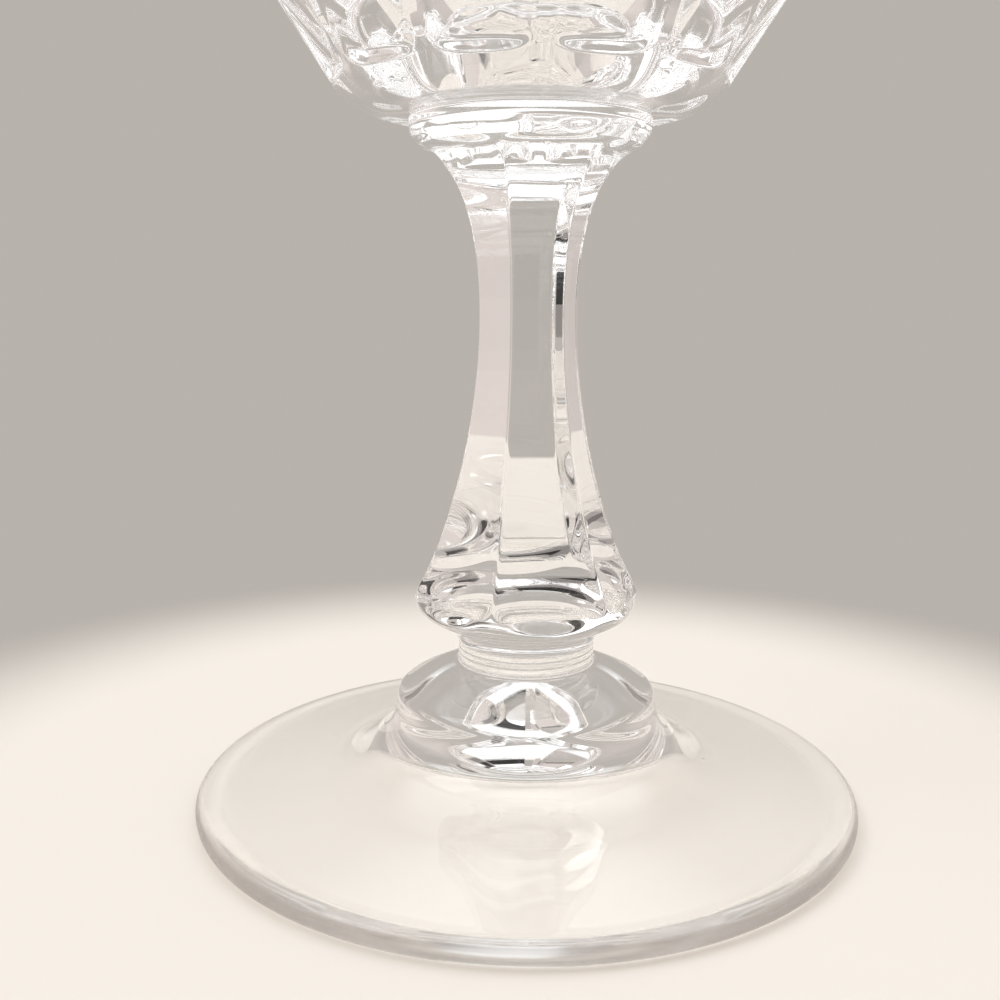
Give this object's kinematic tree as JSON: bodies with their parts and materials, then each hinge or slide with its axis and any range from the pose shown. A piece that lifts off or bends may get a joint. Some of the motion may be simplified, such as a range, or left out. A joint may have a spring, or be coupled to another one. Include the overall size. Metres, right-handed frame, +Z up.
{
  "type": "wine glass",
  "caption": "Clear crystal wine glass: fluted tulip bowl on a round collar, hexagonal baluster stem, ringed neck, button knop and a round foot to stand on.",
  "frame": {"origin": "centre of the foot's resting plane, on the axis of the glass", "axes": "+Z up along the axis of the glass, from the foot to the rim; -Y square to a face of the hexagonal stem"},
  "size_m": [0.07, 0.07, 0.16],
  "materials": {
    "turned_crystal": "clear, fire-polished",
    "pressed_crystal": "clear, pressed and polished",
    "cut_crystal": "clear, cut and polished"
  },
  "bodies": {
    "root": {"foot": "turned_crystal", "knop": "turned_crystal", "neck_ring": "turned_crystal", "stem": "pressed_crystal", "bowl_collar": "turned_crystal", "bowl": "cut_crystal"}
  },
  "joints": []
}
